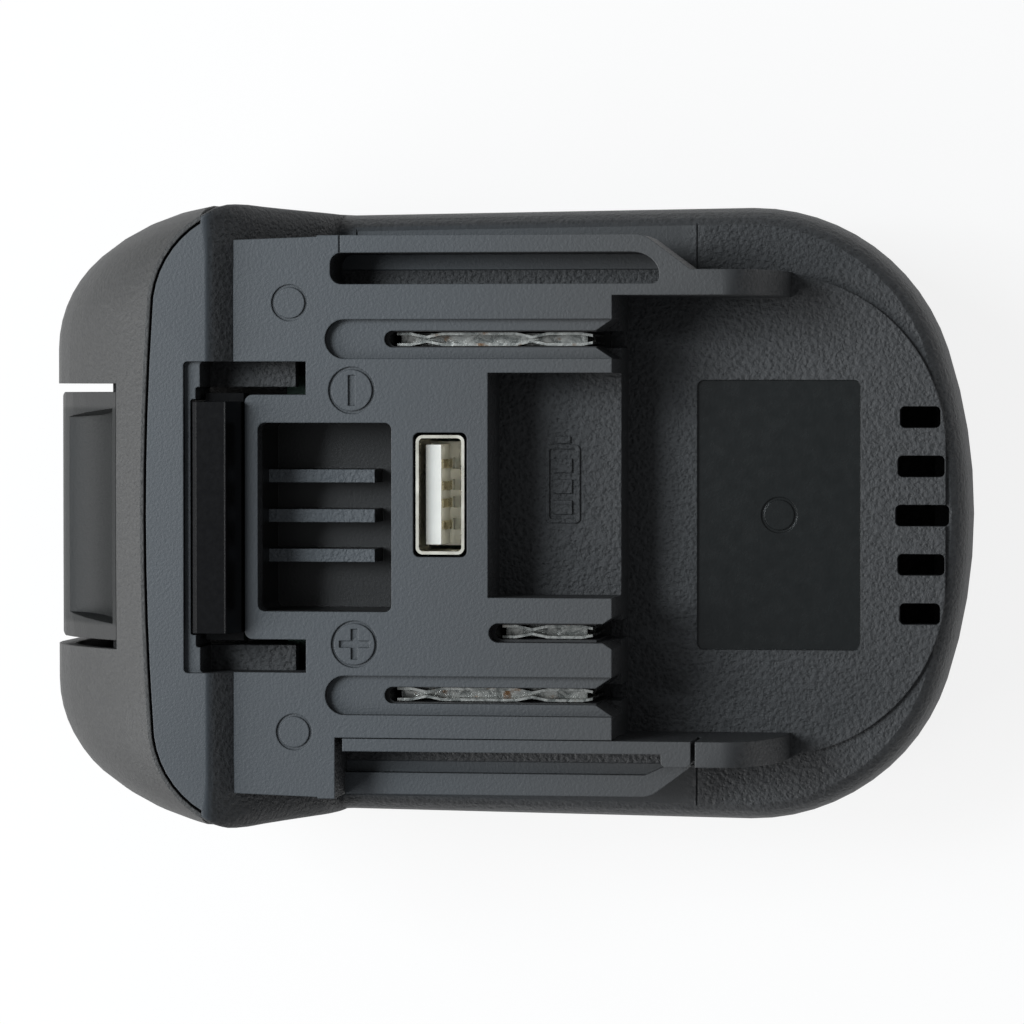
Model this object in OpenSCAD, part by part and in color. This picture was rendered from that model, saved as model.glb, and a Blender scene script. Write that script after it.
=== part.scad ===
// Tool battery adapter: slides onto a cordless tool, takes another slide-in battery underneath.
// X runs from the release button at the front to the vents at the rear, Z is up, millimetres.

/* [Body] */
// length over the rounded front and the rear
body_length = 107.6; // [104:0.2:112]
// width over the side walls
body_width = 72; // [71:0.2:76]
// height of the seam between the two shells
seam_height = 22; // [21:0.2:23]
// height of the rear platform above the underside
platform_height = 31; // [30.5:0.1:32]
// wall thickness of both shells
wall = 2; // [1.7:0.1:2.3]

/* [Tool interface] */
// height of the rail block above the platform
block_rise = 16.5; // [16:0.1:18]
// length of the rail block
block_length = 43.7; // [43:0.1:45]
// width over the two rails
rail_width = 64.4; // [63.6:0.1:66]
// height of the front ridge above the block
ridge_rise = 2.5; // [2:0.1:3.2]
// clear height of the rail grooves
groove_height = 6.5; // [6:0.1:7]
// spacing of the two power terminals
terminal_spacing = 40.7; // [40:0.1:41.4]
// width of the terminal slots
terminal_slot = 1.9; // [1.8:0.05:2.2]

/* [Latch] */
// travel of the release button
latch_travel = 5.5; // [4.5:0.1:5.6]
// width of the release button
button_width = 28.6; // [26:0.2:30]
// width of the latch bar
latch_width = 26.4; // [25:0.2:27.6]
// height of the latch bar above the block
latch_rise = 4; // [3:0.1:4.6]

/* [USB socket] */
// long side of the socket shell
usb_long = 13.6; // [13:0.1:14]
// short side of the socket shell
usb_short = 5.6; // [5.4:0.1:5.8]

/* [Battery receiver] */
// width between the receiver lips
receiver_throat = 44; // [42:0.5:46]
// width of the channel above the lips
receiver_width = 55; // [53:0.5:56]
// thickness of the lips
receiver_lip = 4; // [3.5:0.1:4.5]
// height of the channel roof
receiver_roof = 13; // [12.6:0.1:13.2]

/* [Hidden] */
$fn = 48;
// clearance between parts, and between flat faces that slide
fit = 0.3;
slide_gap = 0.15;
// heights
block_top = platform_height + block_rise;
ridge_top = block_top + ridge_rise;
rim_height = platform_height - 0.6;
nose_z = platform_height - 1;
crease_z = ridge_top - 0.2;
plate_low = crease_z - 1.6;
floor_z = receiver_roof + wall;
plate_under = block_top - 2.2;
flange_under = platform_height + groove_height;
slot_floor = flange_under + 1.6;
recess_floor = block_top - 9.5;
pocket_floor = block_top - 12.5;
arm_floor = block_top - 4.5;
bridge_top = block_top - 4;
bridge_under = bridge_top - 2.5;
board_top = pocket_floor - 1.5;
board_thick = 1.6;
board_low = board_top - board_thick;
usb_base_top = block_top - 8.6;
carrier_plate = recess_floor - wall - 2;
carrier_bottom = carrier_plate - 2;
contact_low = carrier_plate - 1.4;
contact_floor = block_top - 6.8;
contact_top = plate_under - 1.4;
screw_seat = 12;
blade_low = receiver_lip + 2;
blade_high = receiver_roof - 2;
tail_top = floor_z + 3;
// half widths
half_w = body_width / 2;
rail_half = rail_width / 2;
groove_wall = rail_half - 3.7;
cavity_half = groove_wall - 3.5;
cavity_low = -terminal_spacing / 2 - 3.25;
block_half = rail_half - 0.1;
latch_half = latch_width / 2;
button_half = button_width / 2;
well_half = latch_half + 1.7;
arm_half = well_half + 2.9;
pocket_half = 10.8;
label_half = 15.7;
screw_y = half_w - 5.4;
// rear outline: corner radius and bow of the end
rear_corner = 24;
rear_bow = 1.9;
// front outline: length from its widest place, radii of its sides and corners
nose_reach = 21.8;
side_r = 26.2;
corner_r = 13.8;
// joint line round the ridge: setback from the front, corner radius and bow
crease_back = 13.7;
crease_r = 12.4;
crease_bow = 0.8;
// how much the sides draw in behind the cheeks, and lean in below the seam
waist = 0.65;
lean = 0.045;
// places along the length
front_x = -body_length / 2;
rear_x = body_length / 2;
nose_mid = front_x + nose_reach;
button_recess = 0.5;
button_back = front_x + 10.2;
spring_x = button_back + 3.6;
block_front = front_x + 24.1;
ridge_back = block_front - 2.8;
nose_end = ridge_back - 0.4;
bar_front = block_front - 4;
bar_back = bar_front + 5.1;
arm_end = block_front + 8.5;
rail_start = block_front + 11.8;
cheek_end = block_front + 9.5;
waist_x = block_front + 10;
cavity_front = block_front + 3.2;
block_rear = block_front + block_length;
rail_end = block_rear + 9.3;
usb_x = block_rear - 19.7;
pocket_front = block_front + 2.9;
pocket_rear = usb_x - usb_short / 2 - 2.8;
recess_front = block_rear - 14.2;
slot_front = block_rear - 26.3;
carrier_front = block_rear - 27;
carrier_rear = block_rear - 2;
post_x = block_rear - 3.6;
board_front = block_front + 3.7;
board_screw_x = arm_end + 4.6;
label_front = block_rear + 8.05;
label_rear = rear_x - 12.7;
screw_xs = [block_front + 6.7, rear_x - 24.8];
receiver_end = rear_x - 15.8;
blade_tip = receiver_end - 32;
blade_end = receiver_end - 7;
// places across the width
neg_y = terminal_spacing / 2;
pos_y = -terminal_spacing / 2;
sig_y = pos_y + 7.25;
recess_low = sig_y + 4;
recess_high = neg_y - 3.85;
post_y = terminal_spacing / 2 + 1;
usb_y = 2.6;
board_screw_y = pocket_half + 3.5;
spring_y = 9;
blade_pos_y = -13;
blade_neg_y = 13;
// latch springs
spring_r = 2.7;
spring_wire = 0.4;
// joint line between the two shells at the front: lip outside it and gap
crease_lip = 0.45;
crease_gap = 0.35;

// points of an arc
function arc(c, r, a0, a1, n) = [for (i = [0:n]) let (a = a0 + (a1 - a0) * i / n) c + r * [cos(a), sin(a)]];

// outline of the body's rear, inset by d
function rear_u() = (pow(half_w - rear_corner, 2) - pow(rear_bow, 2)) / (2 * rear_bow);
function rear_half_angle() = atan((half_w - rear_corner) / rear_u());
function rear_pts(d) = let (cx = rear_x - rear_corner - rear_bow, cy = half_w - rear_corner,
        a0 = rear_half_angle(), big = rear_u() + rear_corner + rear_bow - d, side = half_w - waist - d)
    concat([[waist_x, -side]], arc([cx, -cy], rear_corner - d, -90, -a0, 12),
        [for (i = [1:7]) let (a = -a0 + a0 * i / 4) [cx - rear_u() + big * cos(a), big * sin(a)]],
        arc([cx, cy], rear_corner - d, a0, 90, 12), [[waist_x, side]]);

// half outline of the front, inset by d, from its side to its middle: below the bulge and at the joint line
function low_half(d) = let (dx = nose_reach - corner_r, dy = sqrt(pow(side_r - corner_r, 2) - dx * dx),
        a = 180 - atan2(dy, dx), cy = half_w - side_r + dy)
    concat(arc([nose_mid, half_w - side_r], side_r - d, 90, a - (a - 90) / 5, 4),
        arc([front_x + corner_r, cy], corner_r - d, a, 180, 7),
        [for (i = [1:4]) [front_x + d, cy * (1 - i / 4)]]);
function high_half(d) = let (x = front_x + crease_back + crease_bow, cy = half_w - crease_r)
    concat(arc([x + crease_r, cy], crease_r - d, 90, 180, 12),
        [for (i = [1:4]) [x + d - crease_bow * (1 - pow(1 - i / 4, 2)), cy * (1 - i / 4)]]);

// the same at height z
function nose_s(z) = max(0, min(1, (z - nose_z) / (crease_z - nose_z)));
function nose_half(z, d) = let (w = pow(nose_s(z), 2), low = low_half(d), high = high_half(d),
        tuck = 0.0009 * pow(max(0, nose_z - z), 2))
    [for (i = [0:16]) low[i] * (1 - w) + high[i] * w + [tuck * i / 16, 0]];
function both_sides(half) = concat(half, [for (i = [len(half) - 2:-1:0]) [half[i][0], -half[i][1]]]);
// whole outline, from the middle of the rear, where all of it is in sight
function body_ring(front, d, z) = let (rear = rear_pts(d), n = len(rear), mid = (n - 1) / 2)
    [for (p = concat([for (i = [mid:n - 1]) rear[i]], both_sides(front), [for (i = [0:mid - 1]) rear[i]]))
        [p[0], p[1], z]];

// half width of the outline at x and height z
function nose_y(x, z) = let (p = nose_half(z, 0)) x >= p[0][0]
    ? p[0][1] - waist * min(1, (x - p[0][0]) / (waist_x - p[0][0]))
    : let (k = [for (i = [0:15]) if (p[i][0] > x && p[i + 1][0] <= x) i][0])
        p[k][1] + (p[k + 1][1] - p[k][1]) * (p[k][0] - x) / (p[k][0] - p[k + 1][0]);

// solid between rings of equally many points
module loft(rings) {
    n = len(rings[0]);
    m = len(rings);
    pts = [for (r = rings) for (p = r) p];
    low = [[for (i = [0:n - 1]) i]];
    high = [[for (i = [0:n - 1]) (m - 1) * n + n - 1 - i]];
    lower = [for (j = [0:m - 2]) for (i = [0:n - 1]) [j * n + i, (j + 1) * n + i, j * n + (i + 1) % n]];
    upper = [for (j = [0:m - 2]) for (i = [0:n - 1])
        [j * n + (i + 1) % n, (j + 1) * n + i, (j + 1) * n + (i + 1) % n]];
    polyhedron(points = pts, faces = concat(low, high, lower, upper), convexity = 8);
}

// round bar along a line of points, closed at both ends
function unit(v) = v / norm(v);
function heading(p, i) = unit(p[min(i + 1, len(p) - 1)] - p[max(i - 1, 0)]);
module tube(p, r, sides) {
    rings = [for (i = [0:len(p) - 1]) let (t = heading(p, i),
        u = unit(cross(t, abs(t[2]) > 0.8 ? [1, 0, 0] : [0, 0, 1])), v = cross(t, u))
        [for (k = [0:sides - 1]) p[i] + r * (u * cos(360 * k / sides) - v * sin(360 * k / sides))]];
    loft(rings);
}

// box from its two corners
module span(a, b) {
    translate(a) cube(b - a);
}

// rectangle from its two corners
module span_flat(a, b) {
    translate(a) square(b - a);
}

// rectangle with round corners, from its two corners
module round_rect(x0, y0, x1, y1, r) {
    translate([x0 + r, y0]) square([x1 - x0 - 2 * r, y1 - y0]);
    translate([x0, y0 + r]) square([x1 - x0, y1 - y0 - 2 * r]);
    for (x = [x0 + r, x1 - r]) for (y = [y0 + r, y1 - r]) translate([x, y]) circle(r);
}

// slab of a flat shape between two heights
module slab(z0, z1) {
    translate([0, 0, z0]) linear_extrude(z1 - z0) children();
}

// side profile drawn in x and z, swept from y0 to y1
module profile(y0, y1) {
    translate([0, y1, 0]) rotate([90, 0, 0]) linear_extrude(y1 - y0) children();
}

// outer form of the lower shell and its rounded front
module lower_form(d, z0) {
    tops = [for (k = [0.16, 0.31, 0.46, 0.6, 0.72, 0.83, 0.92, 1]) nose_z + (crease_z - nose_z) * k];
    zs = z0 < 1
        ? concat([0, 0.5, 1.6, 4, seam_height * 0.6, seam_height, (seam_height + nose_z) / 2, nose_z], tops)
        : concat([z0, seam_height, (seam_height + nose_z) / 2, nose_z], tops, [crease_z + 1]);
    loft([for (z = zs) let (edge = z0 >= 1 ? 0 : z < 0.1 ? 1.2 : z < 1 ? 0.6 : z < 2 ? 0.15 : 0,
        e = d + edge + max(0, seam_height - z) * lean) body_ring(nose_half(z, e), e, z)]);
}

// outer form of the upper shell up to its rounded rim
module rim_form() {
    zs = [seam_height, (seam_height + rim_height - 3) / 2, rim_height - 3, rim_height - 1.5, rim_height - 0.5,
        rim_height];
    ds = [0, 0.1, 0.35, 0.75, 1.4, 2.2];
    loft([for (i = [0:5]) body_ring(low_half(ds[i]), ds[i], zs[i])]);
}

// line that falls from the ridge to the rim along the sides, with a rounded end
function fall_u(x) = max(0, min(1, (x - ridge_back) / (cheek_end - ridge_back)));
function fall_z(x) = let (u = fall_u(x), end = u < 0.88 ? 1 : sqrt(max(0, 1 - pow((u - 0.88) / 0.12, 2))))
    rim_height + (ridge_top - rim_height) * (0.2 + 0.8 * cos(90 * pow(u, 0.7))) * end - (u > 0.99 ? 0.3 : 0);

// cheek beside the block on the +y side
function cheek_y(x, z) = nose_y(x, z) - 0.06 - 0.15 * fall_u(x);
function cheek_section(x) = let (top = fall_z(x), r = min(0.5 + 5 * fall_u(x), 2.6),
        walls = [for (k = [0, 0.35, 0.7]) seam_height + (top - r - seam_height) * k],
        y = cheek_y(x, top - r) - r)
    concat([[x, groove_wall, seam_height]],
        [for (z = walls) [x, cheek_y(x, z), z]],
        [for (i = [0:5]) [x, y + r * cos(18 * i), top - r + r * sin(18 * i)]],
        [[x, groove_wall, top]]);
module cheek() {
    us = [0, 0.03, 0.07, 0.12, 0.17, 0.23, 0.32, 0.44, 0.58, 0.74, 0.88, 0.92, 0.96, 0.985, 1];
    loft(concat([cheek_section(nose_end)],
        [for (u = us) cheek_section(ridge_back + (cheek_end - ridge_back) * u)]));
}

// outline of the ridge plate, inset by d
module ridge_outline(d) {
    polygon(both_sides(high_half(d)));
}
module ridge_plan() {
    intersection() {
        ridge_outline(crease_lip + crease_gap);
        span_flat([front_x, -half_w], [nose_end + 0.05, half_w]);
    }
    span_flat([nose_end - 0.1, -groove_wall - 1], [block_front + 0.6, groove_wall + 1]);
}

// line of the ridge's rear face
module ridge_rear_cut() {
    polygon(concat(
        [for (i = [0:10]) let (x = ridge_back + (block_front - ridge_back) * i / 10) [x, fall_z(x)]],
        [[block_front, block_top], [block_front + 3, block_top], [block_front + 3, ridge_top + 1],
        [ridge_back, ridge_top + 1]]));
}

// plan of one rail with its slanted rear end, on the +y side
module rail_plan() {
    polygon(concat([[rail_start - 2, groove_wall - 3], [rail_start - 2, rail_half]],
        arc([block_rear + 2.6, rail_half - 3], 3, 90, 55, 5),
        arc([rail_end - 1.3, rail_half - 4.9], 1.3, 55, 0, 4),
        [[rail_end, groove_wall - 3]]));
}

// plan of the closed slot in the +y rail
module rail_slot() {
    x0 = rail_start - 0.5;
    x1 = block_rear + 5.4;
    y0 = rail_half - 5.6;
    y1 = rail_half - 2;
    polygon(concat(arc([x0 + 1.3, y0 + 1.3], 1.3, 270, 180, 6), arc([x0 + 1.3, y1 - 1.3], 1.3, 180, 90, 6),
        [for (i = [0:8]) [x1 - 3.2 + 3.2 * sin(11.25 * i), y0 + 1 + (y1 - y0 - 1) * cos(11.25 * i)]],
        arc([x1 - 0.8, y0 + 0.8], 0.8, 0, -90, 5)));
}

// plan of the floor of the open -y rail, with its slanted end
module rail_floor() {
    y0 = -rail_half + 2.5;
    y1 = cavity_low - 1.6;
    polygon([[rail_start, y1], [rail_start, y0], [block_rear + 3, y0], [block_rear + 5.6, y0 + 1.2],
        [rail_end + 0.2, y0 + 1.2], [rail_end + 0.2, y1]]);
}

// arm behind the block on one side: flat, then rounded down to the platform
module arm_profile() {
    flat = block_rear + 12.5;
    low = platform_height - 1.5;
    polygon(concat([[block_rear - 2, low], [block_rear - 2, block_top]],
        [for (i = [0:8]) [flat + 6.5 * sin(11.25 * i), platform_height + block_rise * cos(11.25 * i)]],
        [[flat + 6.5, low]]));
}

module platform_plan() {
    half = half_w - 8;
    r = 20;
    x1 = rear_x - 2.9;
    span_flat([block_rear - 4, r - half], [x1, half - r]);
    span_flat([block_rear - 4, -half], [x1 - r, half]);
    for (s = [-1, 1]) translate([x1 - r, s * (half - r)]) circle(r, $fn = 96);
}

// plan of a terminal slot: straight, round at the front, open and flared at the rear
module slot_plan(y, x0, w) {
    translate([x0 + w / 2, y]) circle(w / 2);
    span_flat([x0 + w / 2, y - w / 2], [block_rear + 2, y + w / 2]);
}
module slot_flare(y, w) {
    polygon([[block_rear - 2, y - w / 2], [block_rear - 2, y + w / 2], [block_rear + 1, y + w / 2 + 2],
        [block_rear + 1, y - w / 2 - 2]]);
}

// shallow pocket round a power terminal
module pocket_plan(y, x0) {
    r = 2.25;
    translate([x0 + r, y]) circle(r);
    span_flat([x0 + r, y - r], [block_rear + 2, y + r]);
}

// opening round the latch bar: the well, the side floors beside it and the step in front of it
module latch_well() {
    rear = bar_back + fit;
    inner = latch_half + fit;
    slit = well_half - 0.9;
    round_rect(bar_front - 0.6, -inner, rear, inner, 0.3);
    round_rect(bar_front, -well_half, rear, well_half, 0.3);
    for (s = [0, 1]) mirror([0, s]) {
        span_flat([bar_front + 2, slit], [arm_end, well_half]);
        span_flat([arm_end - 2, slit], [arm_end, arm_half]);
        difference() {
            span_flat([rear - 0.01, slit - 0.9], [rear + 0.9, slit + 0.01]);
            translate([rear + 0.9, slit - 0.9]) circle(0.9);
        }
    }
}
module latch_arms() {
    for (s = [0, 1]) mirror([0, s]) round_rect(bar_front + 0.5, well_half - 0.9, arm_end, arm_half, 0.4);
}
module latch_step() {
    round_rect(bar_front - 1.25, -arm_half, bar_front + 3.7, arm_half, 0.5);
}

// top shell
module shell_outer() {
    difference() {
        rim_form();
        span([front_x - 20, -half_w - 1, 0], [nose_end, half_w + 1, ridge_top]);
    }
    slab(rim_height - 4, platform_height) platform_plan();
    for (s = [0, 1]) mirror([0, s, 0]) cheek();
    slab(rim_height - 3, block_top) polygon([[block_front, 0.4 - block_half], [rail_start, -block_half],
        [rail_start, block_half], [block_front, block_half - 0.4]]);
    span([rail_start - 1, -groove_wall, rim_height - 3], [block_rear, groove_wall, block_top]);
    for (s = [0, 1]) mirror([0, s, 0]) {
        slab(flange_under, block_top) rail_plan();
        profile(groove_wall - 3.2, groove_wall - 0.3) arm_profile();
    }
    difference() {
        union() {
            slab(plate_low, ridge_top) ridge_plan();
            span([nose_end, -groove_wall - 1, plate_under], [block_front + 0.6, groove_wall + 1, crease_z]);
        }
        profile(-half_w - 1, half_w + 1) ridge_rear_cut();
    }
}

module shell_hollow() {
    side = half_w - wall - fit;
    slab(seam_height - 1, rim_height - wall) difference() {
        polygon(concat(rear_pts(wall + fit), [[cavity_front, side], [cavity_front, -side]]));
        for (x = screw_xs) for (s = [-1, 1]) translate([x, s * screw_y]) circle(3);
    }
    span([cavity_front, cavity_low, seam_height - 1], [block_rear - 2, cavity_half, plate_under]);
    for (s = [0, 1]) mirror([0, s, 0]) span([cavity_front - 0.5, groove_wall - 1.5, seam_height - 1],
        [rail_start - 2, rail_half - 2, plate_under]);
}

// walls that stand inside the shell round the pockets, and what carries the board and the contacts
module shell_inner() {
    span([pocket_front - 1.5, -pocket_half - 1.5, pocket_floor - 1.5],
        [pocket_rear + 1.5, pocket_half + 1.5, block_top - 1]);
    span([recess_front - 1.5, recess_low - 1.5, recess_floor - wall],
        [block_rear - 1, recess_high + 1.5, block_top - 1]);
    for (s = [0, 1]) mirror([0, s, 0]) {
        span([bar_front - 0.8, well_half - 1.5, arm_floor - wall],
            [arm_end + 1.4, arm_half + 1.4, block_top - 1]);
        span([bar_front - 0.8, well_half - 1.5, bridge_top], [ridge_back, arm_half + 1.4, plate_low + 0.2]);
    }
    for (s = [-1, 1]) translate([board_screw_x, s * board_screw_y, board_top])
        cylinder(r = 2.3, h = plate_under - board_top + 1);
    for (y = [recess_low + 4.1, recess_high - 4.5])
        span([recess_front + 1, y - 2, carrier_plate], [recess_front + 6, y + 2, recess_floor - 1]);
}

// ring engraved downwards from height z
module ring_mark(x, y, z, r, depth) {
    translate([x, y, z - depth]) difference() {
        cylinder(r = r, h = 2);
        cylinder(r = r - 0.35, h = 2);
    }
}

// bar engraved across the block's top, centred
module bar_mark(x, y, size) {
    translate([x - size[0] / 2, y - size[1] / 2, block_top - 0.3]) cube([size[0], size[1], 2]);
}

module shell_marks() {
    minus = [block_front + 13.8, neg_y - 5.85];
    plus = [block_front + 14.1, pos_y + 5.85];
    for (p = [minus, plus]) {
        ring_mark(p[0], p[1], block_top, 2.7, 0.3);
        bar_mark(p[0], p[1], [0.8, 3.5]);
    }
    bar_mark(plus[0], plus[1], [3.5, 0.8]);
    ring_mark(block_front + 6.6, 24.5, block_top, 2.1, 0.25);
    ring_mark(block_front + 7.1, -24.6, block_top, 2.1, 0.25);
    slab(platform_height - 0.4, platform_height + 2)
        round_rect(label_front, -label_half, label_rear, label_half, 0.8);
    ring_mark((label_front + label_rear) / 2, 0, platform_height, 2.1, 0.65);
}

// fine joint lines on the rail, the ledge and the rim
module shell_lines() {
    rail_x = block_front + 12.4;
    ledge_x = block_front + 11.5;
    rim_x = block_rear + 8;
    low = flange_under - 1;
    span([rail_x - 0.1, rail_half - 2.2, block_top - 0.2], [rail_x + 0.1, rail_half + 1, block_top + 1]);
    span([ledge_x - 0.1, groove_wall + 0.1, rim_height - 0.25], [ledge_x + 0.1, half_w, low]);
    for (s = [0, 1]) mirror([0, s, 0])
        span([rim_x - 0.1, half_w - 7.6, rim_height - 0.2], [rim_x + 0.1, half_w + 0.4, low]);
}

// plain battery symbol raised on the recess floor
module recess_mark() {
    translate([recess_front + 7.4, (recess_low + recess_high) / 2]) {
        difference() {
            round_rect(-2, -4.5, 2, 4.5, 0.5);
            round_rect(-1.55, -4.05, 1.55, 4.05, 0.3);
        }
        translate([-0.9, 4.7]) square([1.8, 0.8]);
        for (i = [0:2]) translate([-1.1, -3.5 + 2.4 * i]) square([2.2, 1.6]);
    }
}

module top_shell() {
    above = ridge_top + 5;
    color([0.17, 0.18, 0.19]) {
        difference() {
            union() {
                difference() {
                    shell_outer();
                    shell_hollow();
                }
                shell_inner();
            }
            slab(pocket_floor, above) round_rect(pocket_front, -pocket_half, pocket_rear, pocket_half, 0.8);
            span([recess_front, recess_low, recess_floor], [block_rear + 2, recess_high, above]);
            slab(usb_base_top, above) translate([usb_x, usb_y]) usb_outline(-fit, 0.7);
            for (y = [neg_y, pos_y]) {
                slab(block_top - 1.2, above) pocket_plan(y, slot_front - 6.7);
                slab(carrier_bottom, above) slot_plan(y, slot_front, terminal_slot);
                slab(recess_floor, above) slot_flare(y, terminal_slot);
            }
            slab(carrier_bottom, above) slot_plan(sig_y, recess_front + 0.1, terminal_slot + 0.3);
            slab(recess_floor, above) slot_flare(sig_y, terminal_slot - 1);
            slab(seam_height - 1, above) latch_well();
            slab(arm_floor, above) latch_arms();
            slab(ridge_top - 0.9, above) latch_step();
            slab(slot_floor, above) rail_slot();
            span([rail_start, -rail_half - 2, slot_floor + 1.3], [rail_end + 17, -groove_wall, above]);
            slab(slot_floor, above) rail_floor();
            for (i = [-2:2]) slab(rim_height - 5, above) round_rect(rear_x - 8.7 + abs(i) * 0.25,
                i * 5.7 - 1.25, rear_x - 2.5 - abs(i) * 0.5, i * 5.7 + 1.25, 0.6);
            for (x = screw_xs) for (s = [-1, 1])
                translate([x, s * screw_y, seam_height - 1]) cylinder(r = 1.35, h = 6.5);
            for (s = [-1, 1])
                translate([board_screw_x, s * board_screw_y, board_top - 1]) cylinder(r = 0.9, h = 7);
            shell_lines();
            shell_marks();
        }
        slab(recess_floor - 0.3, recess_floor + 0.25) recess_mark();
        for (y = [-4.6, 0, 4.6]) span([pocket_front - 0.3, y - 0.75, pocket_floor - 0.3],
            [pocket_rear - 3.1, y + 0.75, block_top - 7]);
    }
}

// lower shell
module lower_shell() {
    notch = button_half + 1;
    lead_in = front_x + 12.8;
    throat = receiver_throat / 2;
    channel = receiver_width / 2;
    ahead = front_x - 20;
    side_in = channel + wall;
    side_out = half_w - waist - lean * seam_height - wall - fit;
    color([0.2, 0.2, 0.21]) for (s = [-1, 1])
        translate([post_x, s * post_y, floor_z - 1]) cylinder(r = 1.4, h = carrier_bottom - floor_z + 1);
    color([0.2, 0.2, 0.21]) difference() {
        union() {
            difference() {
                lower_form(0, 0);
                difference() {
                    lower_form(wall, floor_z);
                    for (x = screw_xs) for (s = [-1, 1])
                        translate([x, s * screw_y, 0]) cylinder(r = 3.4, h = seam_height);
                }
            }
            for (s = [-1, 1]) translate([spring_x, s * spring_y, floor_z - 1]) cylinder(r = 1.8, h = 5);
        }
        span([nose_end, -half_w - 1, seam_height], [rear_x + 1, half_w + 1, ridge_top + 1]);
        slab(plate_low, ridge_top + 1) ridge_outline(crease_lip);
        span([ahead, -throat, -1], [receiver_end, throat, receiver_roof]);
        span([ahead, -channel, receiver_lip], [receiver_end, channel, receiver_roof]);
        slab(-1, receiver_roof) polygon([[ahead, -channel], [lead_in, -channel], [lead_in + 5, -throat],
            [lead_in + 5, throat], [lead_in, channel], [ahead, channel]]);
        span([ahead, -notch, -1], [front_x + 4.3, notch, ridge_top + 1]);
        span([front_x + 3.8, -notch, floor_z + 3], [button_back + slide_gap, notch, ridge_top + 1]);
        for (s = [0, 1]) mirror([0, s, 0])
            span([screw_xs[0] + 6, side_in, 3], [screw_xs[1] - 6, side_out, seam_height + 1]);
        span([receiver_end + wall, -20, 3], [rear_x - 5, 20, seam_height]);
        for (x = screw_xs) for (s = [-1, 1]) translate([x, s * screw_y, -1]) {
            cylinder(r = 2.2, h = screw_seat + 1);
            cylinder(r = 1.6, h = seam_height + 5);
        }
        for (y = [blade_pos_y, 0, blade_neg_y])
            span([blade_end - 3.2, y - 0.8, receiver_roof - 1], [blade_end + 0.2, y + 0.8, floor_z + 1]);
        for (s = [-1, 1]) span([blade_tip - 18, s * 10 - 4, receiver_roof - 1],
            [blade_tip - 12, s * 10 + 4, receiver_roof + 1.2]);
    }
}

// hollow for the fingertip in the button: round across, with slanted ends
module finger_scoop() {
    mid_z = block_top - 1.9;
    r = 7.9;
    end = button_half - 1.7;
    low = mid_z - r - 1;
    intersection() {
        translate([front_x + 1.8, 0, mid_z]) rotate([90, 0, 0])
            cylinder(r = r, h = button_width, center = true, $fn = 96);
        translate([front_x - 10, 0, 0]) rotate([90, 0, 90]) linear_extrude(30)
            polygon([[1.3 - end, low], [end - 1.3, low], [end, block_top], [end, ridge_top + 10],
                [-end, ridge_top + 10], [-end, block_top]]);
    }
}

// plan of the button with rounded front corners
module button_plan() {
    r = 1.4;
    c = [front_x + button_recess + r - 0.05, button_half - r];
    for (s = [0, 1]) mirror([0, s])
        polygon(concat([[button_back, -1], [button_back, button_half]], arc(c, r, 90, 180, 6),
            [[c[0] - r, -1]]));
}

// release button: front face with a finger scoop, flange behind the wall, bridge to the latch bar
module release_button() {
    low = floor_z + latch_travel + 0.5;
    flange = button_half + 3;
    color([0.2, 0.2, 0.21]) {
        difference() {
            intersection() {
                translate([button_recess, 0, 0]) lower_form(0, 0);
                slab(low, ridge_top) button_plan();
            }
            finger_scoop();
        }
        span([button_back - 2, -flange, low], [button_back, flange, bridge_top - 4.5]);
        span([button_back - 0.4, -12, bridge_under], [bar_back - 0.2, 12, bridge_top]);
        span([bar_front - 4.8, -11, bridge_under], [bar_front - 1.1, 11, plate_low]);
        for (s = [-1, 1]) translate([spring_x, s * spring_y, bridge_under - 3]) cylinder(r = 1.8, h = 4);
    }
}

// latch bar: flat top with a fine ridge, then a slope at the rear, and a shoulder at each end
module latch_bar() {
    top = block_top + latch_rise;
    crest = bar_front + 3.8;
    color([0.06, 0.06, 0.065]) {
        profile(-latch_half, latch_half) polygon([[bar_front, bridge_top], [bar_front, top - 0.7],
            [bar_front + 0.5, top - 0.2], [crest, top - 0.15], [crest + 0.05, top], [crest + 0.2, top],
            [bar_back, top - 2.6], [bar_back, bridge_top]]);
        for (s = [-1, 1]) span([bar_front + 0.6, s * latch_half - 1, bridge_top],
            [bar_back, s * latch_half + 1, block_top - 1]);
    }
}

// coil spring between the floor of the lower shell and the bridge
module latch_spring(s) {
    turns = 8;
    low = floor_z + spring_wire;
    high = bridge_under - spring_wire;
    color([0.72, 0.73, 0.75]) translate([spring_x, s * spring_y, 0])
        tube([for (i = [0:turns * 8]) let (a = 45 * i, f = i / (turns * 8))
            [spring_r * cos(a), spring_r * sin(a), low + (high - low) * f]], spring_wire, 6);
}
module latch_spring_left() {
    latch_spring(1);
}
module latch_spring_right() {
    latch_spring(-1);
}

// strip along the low rail, with its wider rear end
module rail_insert() {
    y = cavity_low - 1.7;
    edge = -rail_half + 4;
    x0 = rail_start + 0.9;
    x1 = rail_end - 0.3;
    color([0.17, 0.18, 0.19]) slab(slot_floor, block_top) {
        span_flat([x0, (y + edge) / 2], [x1, y]);
        round_rect(x1 - 3.4, edge, x1, y, 0.6);
    }
}

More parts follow.
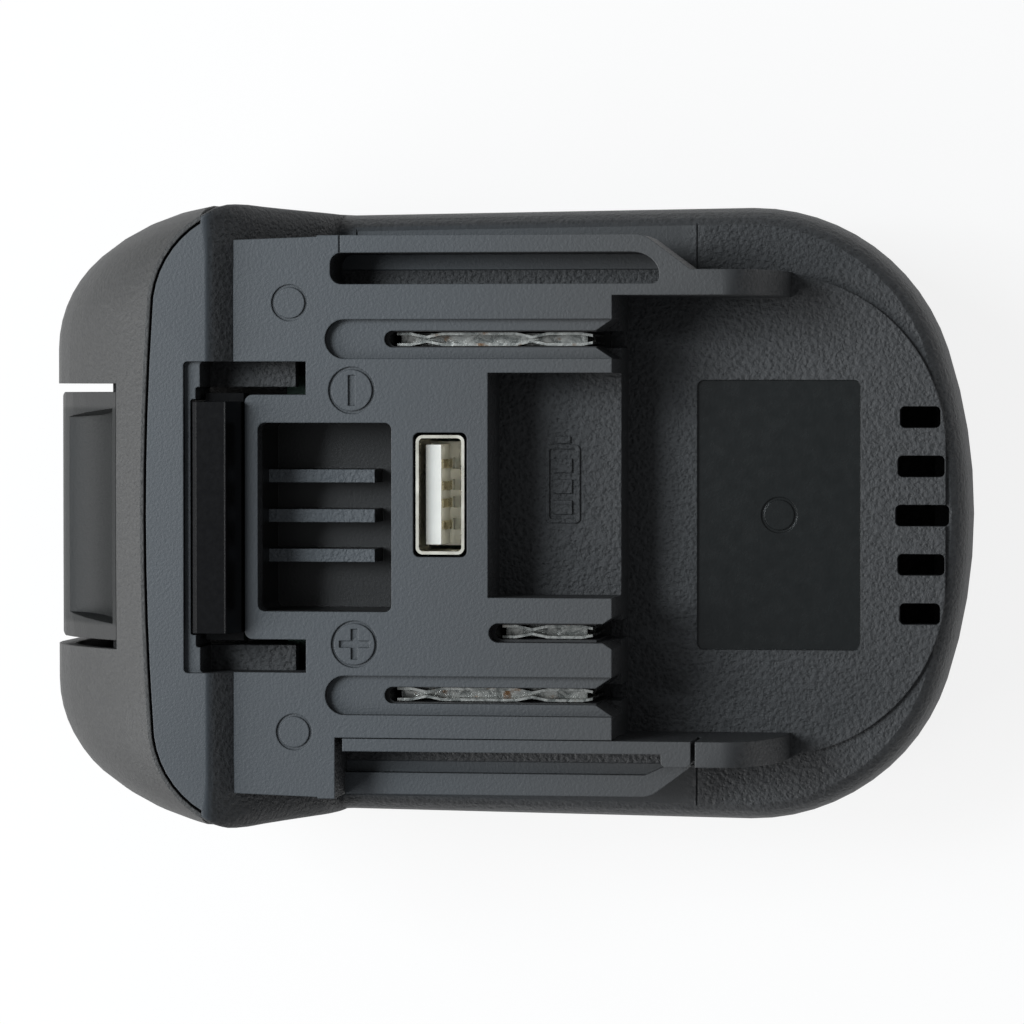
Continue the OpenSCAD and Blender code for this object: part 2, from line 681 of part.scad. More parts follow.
// insulating frame that holds the three contacts
module carrier_slot(y, x0) {
    slab(contact_low, block_top) slot_plan(y, x0, terminal_slot - 0.2);
}
module contact_carrier() {
    color([0.07, 0.07, 0.075]) difference() {
        union() {
            span([recess_front - 1, pos_y - 2.4, carrier_bottom], [carrier_rear, neg_y + 2, carrier_plate]);
            span([carrier_front, neg_y - 2.1, carrier_bottom], [carrier_rear, neg_y + 2, plate_under]);
            span([carrier_front, pos_y - 2, carrier_bottom], [carrier_rear, pos_y + 2.1, plate_under]);
            span([recess_front - 1, sig_y - 2, carrier_bottom], [carrier_rear, sig_y + 2.1, plate_under]);
        }
        carrier_slot(neg_y, slot_front + 0.4);
        carrier_slot(pos_y, slot_front + 0.4);
        carrier_slot(sig_y, recess_front + 0.6);
        for (y = [neg_y, pos_y, sig_y])
            span([recess_front + 1.5, y - 0.5, carrier_bottom - 1], [recess_front + 4.5, y + 0.5, block_top]);
    }
}

// contact: two leaves that pinch the blade, held together by two strips, and a tail, centred on y
module leaf(xs, ys, t) {
    n = len(xs) - 1;
    polygon(concat([for (i = [0:n]) [xs[i], ys[i] - t / 2]],
        [for (i = [0:n]) [xs[n - i], ys[n - i] + t / 2]]));
}
module contact(y, xs, ys) {
    tail = recess_front + 1.7;
    color([0.78, 0.76, 0.7]) translate([0, y, 0]) {
        for (s = [-1, 1]) slab(contact_low, contact_top) leaf(xs, s * ys, 0.3);
        for (z = [contact_low, contact_floor - 0.4])
            span([xs[0], -0.7, z], [xs[len(xs) - 1] - 1, 0.7, z + 0.4]);
        span([tail, -0.35, carrier_bottom - 2.5], [tail + 2.6, 0.35, contact_low + 0.2]);
    }
}
function behind(steps) = [for (v = steps) block_rear - v];
main_xs = behind([25.2, 23.6, 21.8, 20, 14.6, 11.4, 9.6, 7.8, 3.8, 2.6]);
main_ys = [0.62, 0.62, 0.24, 0.62, 0.62, 0.62, 0.24, 0.62, 0.62, 0.4];
module negative_contact() {
    contact(neg_y, main_xs, main_ys);
}
module positive_contact() {
    contact(pos_y, main_xs, main_ys);
}
module signal_contact() {
    contact(sig_y, behind([13, 11.4, 9.6, 7.8, 3.8, 2.6]), [0.62, 0.62, 0.24, 0.62, 0.62, 0.4]);
}

// USB socket: folded shell, plastic tongue and base, four sprung contacts
usb_sheet = 0.35;
tongue_x0 = -usb_short / 2 + 0.95;
tongue_x1 = tongue_x0 + 1.75;
usb_contact_ys = [-3.5, -1, 1, 3.5];
module usb_outline(d, r) {
    round_rect(d - usb_short / 2, d - usb_long / 2, usb_short / 2 - d, usb_long / 2 - d, r);
}
module usb_shell() {
    color([0.78, 0.76, 0.7]) translate([usb_x, usb_y, 0]) difference() {
        slab(board_top, block_top - 0.1) usb_outline(0, 0.8);
        slab(board_top - 1, block_top + 1) usb_outline(usb_sheet, 0.5);
    }
}
module usb_tongue() {
    half = usb_long / 2 - 0.8;
    color([0.75, 0.75, 0.72]) translate([usb_x, usb_y, 0]) {
        difference() {
            span([0.4 - usb_short / 2, -half, board_top], [usb_short / 2 - 0.4, half, usb_base_top]);
            for (y = usb_contact_ys)
                span([tongue_x1 + 0.3, y - 0.65, usb_base_top - 1.6],
                    [tongue_x1 + 1.9, y + 0.65, usb_base_top + 1]);
        }
        span([tongue_x0, 0.3 - half, usb_base_top - 1], [tongue_x1, half - 0.3, block_top - 1.6]);
    }
}
module usb_contacts() {
    z0 = usb_base_top;
    z1 = block_top - 2.2;
    z2 = block_top - 4.6;
    color([0.8, 0.7, 0.42]) translate([usb_x, usb_y, 0]) for (y = usb_contact_ys)
        profile(y - 0.5, y + 0.5) polygon([[tongue_x1, z0], [tongue_x1 + 0.25, z0], [tongue_x1 + 0.75, z2],
            [tongue_x1 + 0.25, z1], [tongue_x1, z1], [tongue_x1, z1 - 0.3], [tongue_x1 + 0.45, z2]]);
}

// converter board under the pocket, with its parts on the underside
module usb_board() {
    half = board_screw_y + 1.9;
    color([0.05, 0.16, 0.1]) difference() {
        span([board_front, -half, board_low], [usb_x + usb_short / 2 + 0.6, half, board_top]);
        for (s = [-1, 1]) translate([board_screw_x, s * board_screw_y, 0]) cylinder(r = 1.15, h = 60);
    }
}
module converter_chip() {
    x0 = usb_x - 5;
    y0 = -8;
    leg = 0.4;
    color([0.05, 0.05, 0.055]) {
        span([x0, y0, board_low - 1.6], [x0 + 5, y0 + 4, board_low - 0.2]);
        for (s = [-1, 1]) for (i = [0:3])
            translate([x0 + 0.6 + i * 1.27, y0 + 2 + s * 2.4 - 0.5, board_low - leg]) cube([leg, 1, leg]);
    }
}
module power_inductor() {
    x0 = board_front + 1.5;
    color([0.22, 0.22, 0.23]) slab(board_low - 5, board_low) round_rect(x0, -6, x0 + 7, 1, 1.2);
}
module filter_capacitor() {
    color([0.62, 0.63, 0.65]) translate([board_front + 8, 8, board_low]) {
        translate([0, 0, -6.2]) cylinder(r = 3.1, h = 5.4);
        span([-3.2, -3.2, -0.8], [3.2, 3.2, 0]);
    }
}

// battery side
module receiver_terminal_block() {
    front = receiver_end - 19;
    color([0.07, 0.07, 0.075]) difference() {
        union() {
            span([front, -19, receiver_lip + 0.6], [receiver_end, 19, receiver_roof]);
            for (y = [blade_pos_y, 0, blade_neg_y])
                span([front - 3.5, y - 2.6, receiver_lip + 0.9], [front + 1, y + 2.6, receiver_roof]);
        }
        for (y = [blade_pos_y, 0, blade_neg_y]) {
            span([front - 9, y - 0.4, blade_low], [blade_end, y + 0.4, blade_high]);
            span([blade_end - 3, y - 0.4, blade_low], [blade_end, y + 0.4, receiver_roof + 1]);
        }
        for (y = [-6.5, 6.5])
            span([front - 2, y - 1.8, receiver_lip], [front + 7, y + 1.8, receiver_roof - 2]);
    }
}
module blade(y) {
    color([0.8, 0.72, 0.5]) profile(y - 0.4, y + 0.4) polygon([[blade_tip, blade_low + 0.6],
        [blade_tip, blade_high - 0.6], [blade_tip + 1.2, blade_high], [blade_end - 3, blade_high],
        [blade_end - 3, tail_top], [blade_end, tail_top], [blade_end, blade_low],
        [blade_tip + 1.2, blade_low]]);
}
module receiver_positive_blade() {
    blade(blade_pos_y);
}
module receiver_negative_blade() {
    blade(blade_neg_y);
}
module receiver_data_blade() {
    blade(0);
}

// wires inside: straight up from the blade's tail, over, and straight up to the contact's tail
function bow(p0, p1, p2, p3, t) =
    p0 * pow(1 - t, 3) + p1 * 3 * t * pow(1 - t, 2) + p2 * 3 * t * t * (1 - t) + p3 * pow(t, 3);
module lead(y0, y1, r) {
    a = [blade_end - 1.5, y0, tail_top];
    b = [recess_front + 3, y1, carrier_bottom - 2.5];
    stub = [0, 0, 1.2];
    over = [for (i = [0:14]) bow(a + stub, a + 4 * stub, b - 5 * stub, b - stub, i / 14)];
    tube(concat([a], over, [b]), r, 10);
}
module positive_wire() {
    color([0.6, 0.05, 0.05]) lead(blade_pos_y, pos_y, 1.1);
}
module negative_wire() {
    color([0.06, 0.06, 0.06]) lead(blade_neg_y, neg_y, 1.1);
}
module signal_wire() {
    color([0.8, 0.65, 0.1]) lead(0, sig_y, 0.7);
}

// screws
module housing_screws() {
    color([0.55, 0.56, 0.58]) for (x = screw_xs) for (s = [-1, 1]) {
        translate([x, s * screw_y, 0]) difference() {
            union() {
                translate([0, 0, screw_seat - 2.2]) cylinder(r = 1.9, h = 2.2);
                translate([0, 0, screw_seat - 1]) cylinder(r = 1.3, h = seam_height + 5 - screw_seat + 1);
            }
            for (a = [0, 90]) translate([0, 0, screw_seat - 2.3]) rotate(a)
                cube([2.6, 0.6, 2], center = true);
        }
    }
}
module board_screws() {
    color([0.55, 0.56, 0.58]) for (s = [-1, 1]) translate([board_screw_x, s * board_screw_y, board_low]) {
        translate([0, 0, -1.2]) cylinder(r = 1.7, h = 1.2);
        translate([0, 0, -0.5]) cylinder(r = 0.85, h = 6);
    }
}

top_shell();
lower_shell();
release_button();
latch_bar();
latch_spring_left();
latch_spring_right();
rail_insert();
contact_carrier();
negative_contact();
positive_contact();
signal_contact();
usb_shell();
usb_tongue();
usb_contacts();
usb_board();
converter_chip();
power_inductor();
filter_capacitor();
receiver_terminal_block();
receiver_positive_blade();
receiver_negative_blade();
receiver_data_blade();
positive_wire();
negative_wire();
signal_wire();
housing_screws();
board_screws();
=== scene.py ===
# Looks of the tool battery adapter: materials, soft edges, small details, light and camera.
import math

import bpy
from mathutils import Matrix, Vector


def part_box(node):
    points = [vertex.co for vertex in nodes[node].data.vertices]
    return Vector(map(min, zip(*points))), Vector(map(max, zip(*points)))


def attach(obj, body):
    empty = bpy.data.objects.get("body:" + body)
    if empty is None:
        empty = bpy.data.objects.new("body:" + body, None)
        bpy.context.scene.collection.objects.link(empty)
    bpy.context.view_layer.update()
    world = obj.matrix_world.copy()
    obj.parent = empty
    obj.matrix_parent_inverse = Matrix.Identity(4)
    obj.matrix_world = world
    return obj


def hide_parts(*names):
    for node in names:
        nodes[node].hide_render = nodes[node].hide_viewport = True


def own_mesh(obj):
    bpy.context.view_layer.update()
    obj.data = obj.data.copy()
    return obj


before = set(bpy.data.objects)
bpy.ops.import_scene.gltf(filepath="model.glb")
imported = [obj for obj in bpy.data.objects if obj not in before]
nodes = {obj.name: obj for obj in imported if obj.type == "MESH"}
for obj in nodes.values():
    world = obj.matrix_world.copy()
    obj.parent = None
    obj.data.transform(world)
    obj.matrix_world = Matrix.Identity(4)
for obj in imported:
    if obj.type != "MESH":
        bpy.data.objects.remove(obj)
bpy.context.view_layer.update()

MM = 0.001
# heights of the rail block and of the platform behind it
BLOCK_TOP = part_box("rail_insert")[1].z
PLATFORM = BLOCK_TOP - 16.5 * MM
# shallow field on the platform: ends and half width
LABEL_X = (22.05 * MM, 41.1 * MM)
LABEL_Y = 15.7 * MM
# smooth ledges beside the block: where they begin across and end along it
LEDGE_Y = 28.4 * MM
LEDGE_END = (20 * MM, 24 * MM)
# ribbed pocket: ends, half width, and the height above which its ribs begin
POCKET_X = (-27.5 * MM, -11 * MM)
POCKET_Y = 11 * MM
POCKET_LOW = BLOCK_TOP - 11.5 * MM
# half width of the finger hollow between the button's lips
LIP_Y = 12.5 * MM


class Graph:
    """Short names for the nodes of one material."""

    def __init__(self, name):
        self.material = bpy.data.materials.new(name)
        self.material.use_nodes = True
        self.tree = self.material.node_tree
        self.tree.nodes.clear()
        self.shader = self.node("ShaderNodeBsdfPrincipled")
        output = self.node("ShaderNodeOutputMaterial")
        self.tree.links.new(self.shader.outputs[0], output.inputs["Surface"])
        self.place = self.node("ShaderNodeTexCoord").outputs["Object"]
        split = self.node("ShaderNodeSeparateXYZ", Vector=self.place)
        self.x, self.y, self.z = split.outputs
        normal = self.node("ShaderNodeNewGeometry").outputs["Normal"]
        self.up = self.node("ShaderNodeSeparateXYZ", Vector=normal).outputs["Z"]

    def put(self, socket, value):
        if isinstance(value, bpy.types.NodeSocket):
            self.tree.links.new(value, socket)
        elif socket.type == "RGBA" and len(value) == 3:
            socket.default_value = (*value, 1)
        else:
            socket.default_value = value

    def node(self, kind, settings=None, **inputs):
        made = self.tree.nodes.new(kind)
        for key, value in (settings or {}).items():
            setattr(made, key, value)
        for key, value in inputs.items():
            self.put(made.inputs[key.replace("_", " ")], value)
        return made

    def math(self, operation, *values):
        made = self.node("ShaderNodeMath", {"operation": operation})
        for socket, value in zip(made.inputs, values):
            self.put(socket, value)
        return made.outputs[0]

    def rise(self, value, low, high):
        """0 below low, 1 above high, smooth between."""
        made = self.node("ShaderNodeMapRange", {"interpolation_type": "SMOOTHSTEP"}, Value=value)
        made.inputs["From Min"].default_value = low
        made.inputs["From Max"].default_value = high
        return made.outputs[0]

    def between(self, value, low, high, soft):
        return self.math("MULTIPLY", self.rise(value, low - soft, low + soft),
                         self.math("SUBTRACT", 1.0, self.rise(value, high - soft, high + soft)))

    def every(self, *masks):
        result = masks[0]
        for mask in masks[1:]:
            result = self.math("MULTIPLY", result, mask)
        return result

    def blend(self, share, low, high):
        """Mix of two numbers."""
        made = self.node("ShaderNodeMix", {"data_type": "FLOAT"})
        for socket, value in zip((made.inputs[0], made.inputs[2], made.inputs[3]), (share, low, high)):
            self.put(socket, value)
        return made.outputs[0]

    def tint(self, share, low, high):
        """Mix of two colours."""
        made = self.node("ShaderNodeMix", {"data_type": "RGBA"})
        for socket, value in zip((made.inputs[0], made.inputs[6], made.inputs[7]), (share, low, high)):
            self.put(socket, value)
        return made.outputs[2]

    def noise(self, size, detail=2.0, rough=0.5, warp=0.0):
        """Cloudy pattern with features of about that size, in metres."""
        made = self.node("ShaderNodeTexNoise", Vector=self.place, Scale=1.0 / size, Detail=detail,
                         Roughness=rough, Distortion=warp)
        return made.outputs[0]

    def cells(self, size, warp=0.0):
        """Distance pattern of packed cells, in metres, with wandering borders."""
        place = self.place
        if warp:
            drift = self.node("ShaderNodeTexNoise", Vector=self.place, Scale=0.7 / size, Detail=1.0)
            push = self.node("ShaderNodeVectorMath", {"operation": "MULTIPLY_ADD"})
            self.put(push.inputs[0], drift.outputs["Color"])
            push.inputs[1].default_value = (warp, warp, warp)
            self.put(push.inputs[2], self.place)
            place = push.outputs[0]
        made = self.node("ShaderNodeTexVoronoi", {"feature": "SMOOTH_F1"}, Vector=place, Scale=1.0 / size)
        return made.outputs["Distance"]

    def bump(self, height, depth, strength=1.0, edge=0.0):
        """Relief of the surface, with edges rounded by that radius."""
        made = self.node("ShaderNodeBump", Strength=strength, Distance=depth, Height=height)
        if edge:
            rounded = self.node("ShaderNodeBevel", {"samples": 4}, Radius=edge)
            self.put(made.inputs["Normal"], rounded.outputs[0])
        self.put(self.shader.inputs["Normal"], made.outputs[0])

    def finish(self, color, roughness, metallic=0.0, coat=0.0, specular=0.5):
        self.put(self.shader.inputs["Base Color"], color)
        self.put(self.shader.inputs["Roughness"], roughness)
        self.shader.inputs["Metallic"].default_value = metallic
        self.shader.inputs["Coat Weight"].default_value = coat
        self.shader.inputs["Specular IOR Level"].default_value = specular
        return self.material


# Plastic

def leather_grain(g):
    """Coarse moulded grain, 0 to 1."""
    return g.math("ADD", g.math("MULTIPLY", g.cells(0.46 * MM, 0.4 * MM), 0.7),
                  g.math("MULTIPLY", g.noise(0.22 * MM, 2.0, 0.6), 0.45))


def satin_grain(g):
    """Fine spark-eroded texture, 0 to 1."""
    return g.noise(0.34 * MM, 3.0, 0.65)


def shell_plastic():
    """Upper shell: satin on the level tops with a painted bluish sheen that is lighter towards the front,
    leather grain elsewhere, a smooth field, painted shade in the pocket and painted light on its ribs.
    """
    g = Graph("shell_plastic")
    level = g.rise(g.up, 0.75, 0.93)
    high = g.rise(g.z, BLOCK_TOP - 2.2 * MM, BLOCK_TOP - 1.8 * MM)
    ledge = g.every(g.rise(g.math("ABSOLUTE", g.y), LEDGE_Y - 0.1 * MM, LEDGE_Y + 0.1 * MM),
                    g.math("SUBTRACT", 1.0, g.rise(g.x, *LEDGE_END)))
    satin = g.every(level, g.math("MAXIMUM", high, ledge))
    label = g.every(g.between(g.x, *LABEL_X, 0.05 * MM), g.between(g.y, -LABEL_Y, LABEL_Y, 0.05 * MM),
                    g.between(g.z, PLATFORM - 0.8 * MM, PLATFORM - 0.2 * MM, 0.02 * MM), level)
    pocket = g.every(g.between(g.x, *POCKET_X, 0.05 * MM), g.between(g.y, -POCKET_Y, POCKET_Y, 0.05 * MM),
                     g.between(g.z, BLOCK_TOP - 14 * MM, BLOCK_TOP - 3 * MM, 0.3 * MM))
    rib = g.every(pocket, level, g.rise(g.z, POCKET_LOW, POCKET_LOW + 0.5 * MM))
    cloud = g.noise(9 * MM, 3.0, 0.6)
    # satin tone with a painted sheen: the level tops are tinted bluish and painted lighter towards the
    # front, where the light falls from
    painted_sheen_fade = g.rise(g.x, -20 * MM, 24 * MM)
    satin_tone_and_sheen = g.tint(painted_sheen_fade, (0.044, 0.052, 0.06), (0.042, 0.043, 0.044))
    satin_tone_and_sheen = g.tint(g.math("MULTIPLY", cloud, 0.35), satin_tone_and_sheen, (0.033, 0.035, 0.038))
    grain = leather_grain(g)
    grain_color = g.tint(g.rise(grain, 0.25, 0.75), (0.02, 0.021, 0.022), (0.042, 0.043, 0.045))
    color = g.tint(satin, grain_color, satin_tone_and_sheen)
    color = g.tint(label, color, (0.005, 0.0065, 0.0065))
    # painted shade: the pocket between the ribs is coloured near black, as deep shade
    painted_pocket_shade = g.math("SUBTRACT", pocket, rib)
    color = g.tint(painted_pocket_shade, color, (0.002, 0.002, 0.002))
    # painted light: the rib tops are coloured lighter than the same satin on the other tops
    color = g.tint(rib, color, (0.085, 0.095, 0.105))
    rough = g.blend(satin, g.blend(grain, 0.5, 0.68), g.blend(cloud, 0.42, 0.52))
    rough = g.blend(label, rough, g.blend(g.noise(1.2 * MM, 3.0), 0.2, 0.32))
    rough = g.blend(painted_pocket_shade, rough, 0.34)
    fine = satin_grain(g)
    height = g.blend(satin, grain, g.math("MULTIPLY", fine, 0.16))
    height = g.blend(g.math("MAXIMUM", label, painted_pocket_shade), height, g.math("MULTIPLY", fine, 0.06))
    g.bump(height, 0.21 * MM, 1.0, 0.16 * MM)
    return g.finish(color, rough)


def nose_plastic():
    """Lower shell: fine even grain."""
    g = Graph("nose_plastic")
    grain = g.math("ADD", g.math("MULTIPLY", g.noise(0.36 * MM, 3.0, 0.6), 0.7),
                   g.math("MULTIPLY", g.cells(0.5 * MM, 0.3 * MM), 0.3))
    cloud = g.noise(12 * MM, 3.0)
    color = g.tint(g.rise(grain, 0.3, 0.7), (0.022, 0.022, 0.022), (0.036, 0.036, 0.035))
    color = g.tint(g.math("MULTIPLY", cloud, 0.4), color, (0.04, 0.04, 0.039))
    g.bump(grain, 0.13 * MM, 0.95, 0.2 * MM)
    return g.finish(color, g.blend(cloud, 0.5, 0.62))


def button_plastic():
    """Same moulding as the front, with painted shade between the lips of the finger hollow."""
    g = Graph("button_plastic")
    grain = g.noise(0.36 * MM, 3.0, 0.6)
    lip = g.rise(g.math("ABSOLUTE", g.y), LIP_Y - 0.3 * MM, LIP_Y + 0.3 * MM)
    # painted shade: the finger hollow is coloured darker than the same moulding on the lips
    painted_hollow_shade = g.tint(grain, (0.006, 0.007, 0.007), (0.011, 0.012, 0.012))
    color = g.tint(lip, painted_hollow_shade, g.tint(grain, (0.022, 0.022, 0.022), (0.036, 0.036, 0.035)))
    g.bump(grain, 0.06 * MM, 0.8, 0.2 * MM)
    return g.finish(color, g.blend(grain, 0.5, 0.62), specular=0.3)


def gloss_black():
    g = Graph("latch_black")
    scuff = g.noise(0.8 * MM, 4.0, 0.7)
    color = g.tint(scuff, (0.003, 0.003, 0.0035), (0.006, 0.006, 0.0065))
    g.bump(g.noise(0.5 * MM, 2.0), 0.01 * MM, 0.5, 0.12 * MM)
    return g.finish(color, g.blend(scuff, 0.16, 0.26), specular=0.12)


def inner_black():
    g = Graph("carrier_black")
    grain = g.noise(0.5 * MM, 3.0)
    g.bump(grain, 0.03 * MM, 0.5)
    return g.finish(g.tint(grain, (0.01, 0.01, 0.011), (0.02, 0.02, 0.021)), g.blend(grain, 0.5, 0.65))


def pale_plastic():
    g = Graph("tongue_plastic")
    cloud = g.noise(2.2 * MM, 3.0)
    color = g.tint(cloud, (0.76, 0.75, 0.7), (0.86, 0.855, 0.81))
    g.bump(g.noise(0.4 * MM, 2.0), 0.01 * MM, 0.4)
    return g.finish(color, g.blend(cloud, 0.36, 0.48))


# Metal

def contact_metal():
    g = Graph("contact_metal")
    mottle = g.noise(1.3 * MM, 4.0, 0.65, 0.6)
    stain = g.rise(g.noise(2.6 * MM, 3.0, 0.6), 0.6, 0.72)
    color = g.tint(g.rise(mottle, 0.35, 0.65), (0.2, 0.21, 0.2), (0.74, 0.74, 0.7))
    color = g.tint(stain, color, (0.3, 0.17, 0.09))
    g.bump(mottle, 0.05 * MM, 0.6)
    return g.finish(color, g.blend(mottle, 0.34, 0.18), 1.0)


def plated_metal():
    g = Graph("socket_metal")
    mottle = g.noise(1.8 * MM, 3.0)
    color = g.tint(mottle, (0.72, 0.68, 0.57), (0.83, 0.8, 0.71))
    g.bump(g.noise(0.35 * MM, 2.0), 0.008 * MM, 0.4)
    return g.finish(color, g.blend(mottle, 0.22, 0.36), 1.0)


def gold_metal():
    g = Graph("gold_metal")
    mottle = g.noise(0.8 * MM, 3.0)
    return g.finish(g.tint(mottle, (0.72, 0.6, 0.34), (0.85, 0.78, 0.56)), g.blend(mottle, 0.2, 0.35), 1.0)


def bright_steel():
    g = Graph("bright_steel")
    mottle = g.noise(0.9 * MM, 3.0)
    return g.finish(g.tint(mottle, (0.5, 0.5, 0.5), (0.66, 0.66, 0.66)), g.blend(mottle, 0.24, 0.4), 1.0)


def can_metal():
    g = Graph("can_metal")
    mottle = g.noise(0.7 * MM, 3.0)
    return g.finish(g.tint(mottle, (0.58, 0.59, 0.6), (0.7, 0.71, 0.72)), g.blend(mottle, 0.3, 0.42), 1.0)


# Electronics and wires

def board_mask():
    g = Graph("board_mask")
    cloud = g.noise(3 * MM, 3.0)
    return g.finish(g.tint(cloud, (0.012, 0.07, 0.035), (0.02, 0.1, 0.05)), g.blend(cloud, 0.28, 0.4))


def ferrite():
    g = Graph("ferrite")
    speck = g.noise(0.25 * MM, 3.0)
    g.bump(speck, 0.03 * MM, 0.6)
    return g.finish(g.tint(speck, (0.05, 0.05, 0.053), (0.1, 0.1, 0.105)), g.blend(speck, 0.5, 0.7))


def wire_jacket(name, painted_pocket_shade, light):
    g = Graph(name)
    cloud = g.noise(1.5 * MM, 2.0)
    return g.finish(g.tint(cloud, painted_pocket_shade, light), g.blend(cloud, 0.35, 0.5))


# Shading of the carried-over solids

def sharp_edges(angle):
    """Node group that shades smooth, with a hard line where faces meet at more than that angle."""
    group = bpy.data.node_groups.new("sharp_edges", "GeometryNodeTree")
    group.interface.new_socket("Geometry", in_out="INPUT", socket_type="NodeSocketGeometry")
    group.interface.new_socket("Geometry", in_out="OUTPUT", socket_type="NodeSocketGeometry")
    start = group.nodes.new("NodeGroupInput")
    end = group.nodes.new("NodeGroupOutput")
    smooth = group.nodes.new("GeometryNodeSetShadeSmooth")
    smooth.domain = "FACE"
    between = group.nodes.new("GeometryNodeInputMeshEdgeAngle")
    steep = group.nodes.new("FunctionNodeCompare")
    steep.data_type = "FLOAT"
    steep.operation = "GREATER_THAN"
    steep.inputs[1].default_value = math.radians(angle)
    hard = group.nodes.new("GeometryNodeSetShadeSmooth")
    hard.domain = "EDGE"
    hard.inputs["Shade Smooth"].default_value = False
    link = group.links.new
    link(start.outputs[0], smooth.inputs["Geometry"])
    link(between.outputs["Unsigned Angle"], steep.inputs[0])
    link(smooth.outputs[0], hard.inputs["Geometry"])
    link(steep.outputs[0], hard.inputs["Selection"])
    link(hard.outputs[0], end.inputs[0])
    return group


def even_shading(*names):
    """Hard lines at the edges and even shading over the flat faces."""
    for name in names:
        weld = nodes[name].modifiers.new("weld", "WELD")
        weld.merge_threshold = 0.0005 * MM
        lines = nodes[name].modifiers.new("lines", "NODES")
        lines.node_group = edge_lines
        even = nodes[name].modifiers.new("even", "WEIGHTED_NORMAL")
        even.keep_sharp = True
        even.weight = 50


def dress(material, *names):
    for name in names:
        slots = nodes[name].data.materials
        slots.clear()
        slots.append(material)


dress(shell_plastic(), "top_shell", "rail_insert")
dress(nose_plastic(), "lower_shell")
dress(button_plastic(), "release_button")
dress(gloss_black(), "latch_bar")
dress(inner_black(), "contact_carrier", "receiver_terminal_block", "converter_chip")
dress(contact_metal(), "negative_contact", "positive_contact", "signal_contact",
      "receiver_positive_blade", "receiver_negative_blade", "receiver_data_blade")
dress(plated_metal(), "usb_shell")
dress(pale_plastic(), "usb_tongue")
dress(gold_metal(), "usb_contacts")
dress(board_mask(), "usb_board")
dress(ferrite(), "power_inductor")
dress(can_metal(), "filter_capacitor")
dress(bright_steel(), "latch_spring_left", "latch_spring_right", "housing_screws", "board_screws")
dress(wire_jacket("red_jacket", (0.36, 0.012, 0.012), (0.5, 0.02, 0.018)), "positive_wire")
dress(wire_jacket("black_jacket", (0.012, 0.012, 0.012), (0.025, 0.025, 0.025)), "negative_wire")
dress(wire_jacket("yellow_jacket", (0.55, 0.37, 0.03), (0.7, 0.5, 0.05)), "signal_wire")

edge_lines = sharp_edges(32)
even_shading(*nodes)


# Latch springs


def coil(name):
    """Smooth-shaded copy of a latch spring, attached to the housing, in place of the hidden stiff solid.
    """
    made = bpy.data.objects.new(name + "_coil", nodes[name].data.copy())
    bpy.context.scene.collection.objects.link(made)
    for face in made.data.polygons:
        face.use_smooth = True
    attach(made, "housing")
    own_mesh(made)
    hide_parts(name)


coil("latch_spring_left")
coil("latch_spring_right")


# Stage: floor, light and camera

def white_floor():
    """Pale floor that is seen as white and still takes a soft shadow."""
    material = bpy.data.materials.new("floor_white")
    material.use_nodes = True
    tree = material.node_tree
    tree.nodes.clear()
    output = tree.nodes.new("ShaderNodeOutputMaterial")
    paint = tree.nodes.new("ShaderNodeBsdfDiffuse")
    paint.inputs["Color"].default_value = (0.82, 0.82, 0.82, 1)
    glow = tree.nodes.new("ShaderNodeEmission")
    glow.inputs["Strength"].default_value = 1.0
    path = tree.nodes.new("ShaderNodeLightPath")
    seen = tree.nodes.new("ShaderNodeMath")
    seen.operation = "MAXIMUM"
    tree.links.new(path.outputs["Is Camera Ray"], seen.inputs[0])
    mirrored = tree.nodes.new("ShaderNodeMath")
    mirrored.operation = "MAXIMUM"
    tree.links.new(path.outputs["Is Glossy Ray"], mirrored.inputs[0])
    tree.links.new(path.outputs["Is Transmission Ray"], mirrored.inputs[1])
    tree.links.new(mirrored.outputs[0], seen.inputs[1])
    share = tree.nodes.new("ShaderNodeMath")
    share.operation = "MULTIPLY"
    share.inputs[1].default_value = 0.86
    tree.links.new(seen.outputs[0], share.inputs[0])
    mix = tree.nodes.new("ShaderNodeMixShader")
    tree.links.new(share.outputs[0], mix.inputs[0])
    tree.links.new(paint.outputs[0], mix.inputs[1])
    tree.links.new(glow.outputs[0], mix.inputs[2])
    tree.links.new(mix.outputs[0], output.inputs["Surface"])
    return material


def floor():
    bpy.ops.mesh.primitive_plane_add(size=3.0, location=(0, 0, -0.2 * MM))
    made = bpy.context.object
    made.name = "floor"
    made.data.materials.append(white_floor())


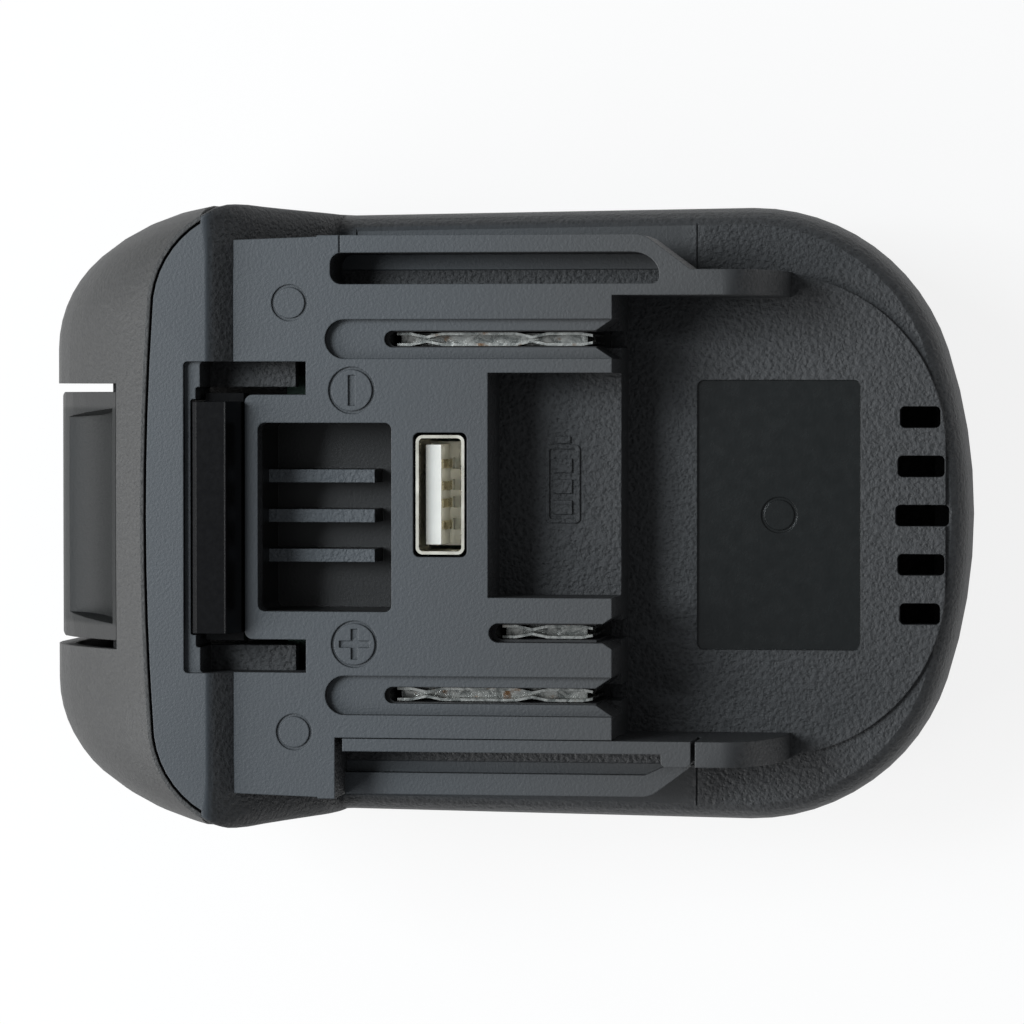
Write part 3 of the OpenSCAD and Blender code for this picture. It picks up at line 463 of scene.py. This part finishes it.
def softbox(name, place, aim, size, power, color=(1, 1, 1)):
    data = bpy.data.lights.new(name, "AREA")
    data.shape = "RECTANGLE"
    data.size, data.size_y = size
    data.energy = power
    data.color = color
    made = bpy.data.objects.new(name, data)
    made.location = place
    made.rotation_euler = (Vector(aim) - Vector(place)).to_track_quat("-Z", "Y").to_euler()
    bpy.context.scene.collection.objects.link(made)


def surroundings():
    """Dim bluish room that is seen as white."""
    world = bpy.data.worlds.new("studio")
    bpy.context.scene.world = world
    world.use_nodes = True
    tree = world.node_tree
    tree.nodes.clear()
    output = tree.nodes.new("ShaderNodeOutputWorld")
    room = tree.nodes.new("ShaderNodeBackground")
    room.inputs["Color"].default_value = (0.92, 0.96, 1, 1)
    room.inputs["Strength"].default_value = 0.24
    white = tree.nodes.new("ShaderNodeBackground")
    path = tree.nodes.new("ShaderNodeLightPath")
    mix = tree.nodes.new("ShaderNodeMixShader")
    tree.links.new(path.outputs["Is Camera Ray"], mix.inputs[0])
    tree.links.new(room.outputs[0], mix.inputs[1])
    tree.links.new(white.outputs[0], mix.inputs[2])
    white.inputs["Color"].default_value = (1, 1, 1, 1)
    tree.links.new(mix.outputs[0], output.inputs["Surface"])


# The photograph looks down from 8 degrees behind and 1.5 degrees to the left of straight above
AIM = Vector((2.6 * MM, 0.68 * MM, BLOCK_TOP))
CAMERA_AWAY = 0.55
CAMERA_LEAN = (0.1405, 0.026)
PIXELS_PER_MM = 8.8


def camera():
    data = bpy.data.cameras.new("camera")
    data.sensor_width = 36.0
    data.lens = PIXELS_PER_MM * CAMERA_AWAY / MM / 1024 * data.sensor_width
    made = bpy.data.objects.new("camera", data)
    away = Vector((CAMERA_LEAN[0], CAMERA_LEAN[1], 1)).normalized()
    made.location = AIM + away * CAMERA_AWAY
    side = Vector((0, 1, 0)).cross(away).normalized()
    upward = away.cross(side)
    made.rotation_euler = Matrix((side, upward, away)).transposed().to_euler()
    bpy.context.scene.collection.objects.link(made)
    bpy.context.scene.camera = made


floor()
surroundings()
softbox("window", (-0.75, -0.2, 0.45), (-0.02, 0, 0.03), (0.7, 0.6), 8)
softbox("overhead", (-0.5, 0.18, 0.82), (0, 0, 0.04), (0.35, 0.35), 6, (0.88, 0.95, 1))
camera()

scene = bpy.context.scene
scene.view_settings.view_transform = "Standard"
